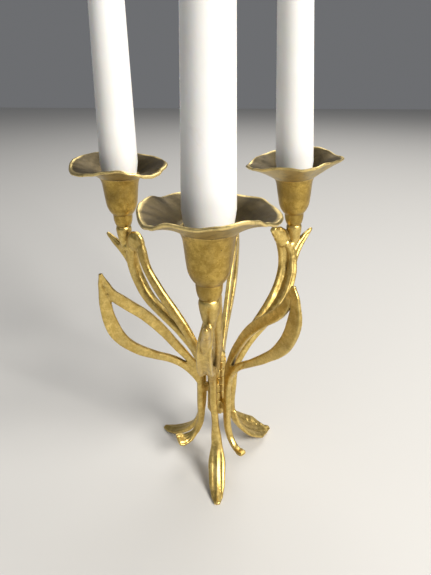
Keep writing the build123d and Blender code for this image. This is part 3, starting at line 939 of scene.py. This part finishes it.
class CandelabraFinish(bpy.types.PropertyGroup):
    """Colours and finish of the candelabra."""

    bright_brass: bpy.props.FloatVectorProperty(
        name="Bright brass", description="Colour of the brass where hands have worn it", subtype="COLOR",
        size=4, min=0, max=1, default=(0.92, 0.70, 0.25, 1.0),
    )
    mellow_brass: bpy.props.FloatVectorProperty(
        name="Mellow brass", description="Colour of the aged brass", subtype="COLOR", size=4, min=0, max=1,
        default=(0.55, 0.38, 0.105, 1.0),
    )
    # Also the colour of the painted shade in hollows and sheltered places
    tarnish_and_shade: bpy.props.FloatVectorProperty(
        name="Tarnish", description="Colour of the brown tarnish in the hollows", subtype="COLOR", size=4,
        min=0, max=1, default=(0.10, 0.062, 0.018, 1.0),
    )


class CandelabraStage(bpy.types.PropertyGroup):
    """Camera and light."""

    camera_pitch: bpy.props.FloatProperty(
        name="Camera pitch", description="How far the camera looks down", subtype="ANGLE",
        default=radians(26.97)
    )
    camera_turn: bpy.props.FloatProperty(
        name="Camera turn", description="How far the camera is turned to the left", subtype="ANGLE",
        default=radians(3.03),
    )
    camera_place: bpy.props.FloatVectorProperty(
        name="Camera place", description="Where the camera stands", subtype="TRANSLATION", unit="LENGTH",
        default=(0.0115, -0.232, 0.2533),
    )
    camera_lens: bpy.props.FloatProperty(
        name="Lens", description="Focal length in millimetres", unit="CAMERA", default=27.07
    )
    key_power: bpy.props.FloatProperty(
        name="Key light", description="Power of the large key light", unit="POWER", default=41.0, min=0
    )


# Place, size, share of the key light's power and colour of each light, and the place they aim at
LIGHTS = {
    "key": {"place": (1.05, -0.80, 1.10), "size": 0.75, "share": 1.0, "colour": (1.0, 0.97, 0.92)},
    "fill": {"place": (-0.90, -0.90, 1.30), "size": 1.0, "share": 0.06, "colour": (0.92, 0.96, 1.0)},
    "back": {"place": (0.30, 1.20, 1.60), "size": 1.2, "share": 0.40, "colour": (1.0, 0.98, 0.95)},
}
LIGHT_AIM = (0, 0, 0.13)
ROOM_COLOUR = (0.80, 0.82, 0.86, 1)
ROOM_STRENGTH = 0.19


# --- Operators -----------------------------------------------------------------------------------

class CANDELABRA_OT_materials(bpy.types.Operator):
    """Build the brass, wax, cotton and floor materials"""

    bl_idname = "candelabra.materials"
    bl_label = "Build materials"

    def execute(self, context):
        finish = context.scene.candelabra_finish
        build_aged_brass_group()
        colours = {
            "Bright": finish.bright_brass[:], "Mellow": finish.mellow_brass[:], "Tarnish": finish.tarnish_and_shade[:],
            "Worn": finish.bright_brass[:],
        }
        brass_material(
            "cast brass", dict(colours, **{"Tarnish Amount": 0.35, "Edge Wear": 0.8, "Roughness": 0.35})
        )
        brass_material(
            "cup brass",
            dict(colours, Bright=(0.68, 0.47, 0.12, 1), Mellow=(0.36, 0.235, 0.052, 1),
                 **{"Tarnish Amount": 0.55, "Edge Wear": 0.5, "Pits": 1.0, "Roughness": 0.33}),
            0.18,
        )
        # The pan's worn colour also serves for the painted sheen on its underside
        brass_material(
            "pan brass",
            dict(Bright=(0.14, 0.103, 0.042, 1), Mellow=(0.08, 0.057, 0.022, 1),
                 Tarnish=(0.035, 0.026, 0.010, 1), Worn=(0.80, 0.62, 0.26, 1),
                 **{"Tarnish Amount": 0.6, "Edge Wear": 1.0, "Pits": 0.5, "Roughness": 0.42}),
            0.15,
        )
        brass_material(
            "rod brass", dict(colours, **{"Tarnish Amount": 0.6, "Edge Wear": 0.5, "Roughness": 0.36})
        )
        build_wax_material()
        build_wick_material()
        build_floor_material()
        return {"FINISHED"}


class CANDELABRA_OT_arms(bpy.types.Operator):
    """Model the three arm castings"""

    bl_idname = "candelabra.arms"
    bl_label = "Arms"

    def execute(self, context):
        for key, arm in ARMS.items():
            piece = make_arm_casting(key, arm)
            finish_with(piece, "cast brass")
            place_piece(piece, f"{key}_arm", "cast_brass", f"arm_{key}")
        return {"FINISHED"}


class CANDELABRA_OT_leaves(bpy.types.Operator):
    """Model the three leaf hoops"""

    bl_idname = "candelabra.leaves"
    bl_label = "Leaf hoops"

    def execute(self, context):
        for key, leaf in LEAVES.items():
            piece = make_leaf_casting(key, leaf)
            finish_with(piece, "cast brass")
            place_piece(piece, f"{key}_leaf", "cast_brass", f"leaf_{key}")
        return {"FINISHED"}


class CANDELABRA_OT_cups(bpy.types.Operator):
    """Turn the three candle cups"""

    bl_idname = "candelabra.cups"
    bl_label = "Candle cups"

    def execute(self, context):
        pattern = make_cup_shell()
        smooth(pattern, 35)
        for key, arm in ARMS.items():
            piece = duplicate(pattern, f"cup_{key}_bell")
            settle(piece, socket_matrix(arm))
            finish_with(piece, "cup brass")
            place_piece(piece, f"{key}_arm", "cup_brass", f"cup_{key}")
        pick(pattern)
        bpy.ops.object.delete()
        return {"FINISHED"}


class CANDELABRA_OT_pans(bpy.types.Operator):
    """Spin and beat the three drip pans"""

    bl_idname = "candelabra.pans"
    bl_label = "Drip pans"

    def execute(self, context):
        for key, arm in ARMS.items():
            piece = make_pan(key, arm)
            smooth(piece, 50)
            piece.name = f"drip_pan_{key}_lily"
            piece.data.name = piece.name
            finish_with(piece, "pan brass")
            place_piece(piece, f"{key}_arm", "pan_brass", f"drip_pan_{key}")
        return {"FINISHED"}


class CANDELABRA_OT_candles(bpy.types.Operator):
    """Pour the three candles and ply their wicks"""

    bl_idname = "candelabra.candles"
    bl_label = "Candles and wicks"

    def execute(self, context):
        candle = make_candle_solid()
        smooth(candle, 50)
        wick = make_wick_strands()
        smooth(wick, 60)
        for key, arm in ARMS.items():
            wax = duplicate(candle, f"candle_{key}_taper")
            settle(wax, socket_matrix(arm))
            finish_with(wax, "candle wax")
            place_piece(wax, f"{key}_candle", "candle_wax", f"candle_{key}")
            cotton = duplicate(wick, f"wick_{key}_ply")
            settle(cotton, socket_matrix(arm))
            finish_with(cotton, "cotton wick")
            place_piece(cotton, f"{key}_candle", "cotton_wick", f"wick_{key}")
        for pattern in (candle, wick):
            pick(pattern)
            bpy.ops.object.delete()
        return {"FINISHED"}


class CANDELABRA_OT_rod(bpy.types.Operator):
    """Finish the rod, its cap, washer and nut, and the cup screws"""

    bl_idname = "candelabra.rod"
    bl_label = "Rod and fixings"

    def execute(self, context):
        for name in ROD_PARTS:
            finish_with(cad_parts[name], "rod brass")
        return {"FINISHED"}


class CANDELABRA_OT_stage(bpy.types.Operator):
    """Set the floor, the light and the camera"""

    bl_idname = "candelabra.stage"
    bl_label = "Stage"

    def execute(self, context):
        stage = context.scene.candelabra_stage
        clear_selection()
        bpy.ops.mesh.primitive_plane_add(size=6.0, location=(0, 0, 0))
        floor = bpy.context.object
        floor.name = "floor"
        finish_with(floor, "pale floor")
        world = bpy.data.worlds.new("soft room")
        context.scene.world = world
        world.use_nodes = True
        background = world.node_tree.nodes["Background"]
        background.inputs["Color"].default_value = ROOM_COLOUR
        background.inputs["Strength"].default_value = ROOM_STRENGTH
        for name, lamp in LIGHTS.items():
            clear_selection()
            bpy.ops.object.light_add(type="AREA", location=lamp["place"])
            light = bpy.context.object
            light.name = name
            light.data.shape = "SQUARE"
            light.data.size = lamp["size"]
            light.data.energy = stage.key_power * lamp["share"]
            light.data.color = lamp["colour"]
            aim = Vector(LIGHT_AIM) - Vector(lamp["place"])
            light.rotation_euler = aim.to_track_quat("-Z", "Y").to_euler()
        clear_selection()
        bpy.ops.object.camera_add(
            location=stage.camera_place, rotation=(pi / 2 - stage.camera_pitch, 0, stage.camera_turn)
        )
        camera = bpy.context.object
        camera.data.lens = stage.camera_lens
        camera.data.sensor_width = 36.0
        camera.data.clip_start = 0.01
        context.scene.camera = camera
        context.scene.view_settings.view_transform = "Standard"
        return {"FINISHED"}


class CANDELABRA_PT_panel(bpy.types.Panel):
    """Lists the candelabra's pieces and settings"""

    bl_idname = "CANDELABRA_PT_panel"
    bl_label = "Candelabra"
    bl_space_type = "VIEW_3D"
    bl_region_type = "UI"
    bl_category = "Candelabra"

    def draw(self, context):
        layout = self.layout
        finish = context.scene.candelabra_finish
        stage = context.scene.candelabra_stage
        for name in ("bright_brass", "mellow_brass", "tarnish_and_shade"):
            layout.prop(finish, name)
        for name in ("camera_pitch", "camera_turn", "camera_place", "camera_lens", "key_power"):
            layout.prop(stage, name)
        for operator in OPERATORS:
            layout.operator(operator.bl_idname)


OPERATORS = (
    CANDELABRA_OT_materials,
    CANDELABRA_OT_arms,
    CANDELABRA_OT_leaves,
    CANDELABRA_OT_cups,
    CANDELABRA_OT_pans,
    CANDELABRA_OT_candles,
    CANDELABRA_OT_rod,
    CANDELABRA_OT_stage,
)
CLASSES = (CandelabraFinish, CandelabraStage, CANDELABRA_PT_panel) + OPERATORS


def register():
    for cls in CLASSES:
        bpy.utils.register_class(cls)
    bpy.types.Scene.candelabra_finish = bpy.props.PointerProperty(type=CandelabraFinish)
    bpy.types.Scene.candelabra_stage = bpy.props.PointerProperty(type=CandelabraStage)


def unregister():
    del bpy.types.Scene.candelabra_finish
    del bpy.types.Scene.candelabra_stage
    for cls in reversed(CLASSES):
        bpy.utils.unregister_class(cls)


def main():
    """Register the add-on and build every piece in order."""
    register()
    bpy.ops.candelabra.materials()
    bpy.ops.candelabra.arms()
    bpy.ops.candelabra.leaves()
    bpy.ops.candelabra.cups()
    bpy.ops.candelabra.pans()
    bpy.ops.candelabra.candles()
    bpy.ops.candelabra.rod()
    bpy.ops.candelabra.stage()
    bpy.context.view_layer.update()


if __name__ == "__main__":
    main()
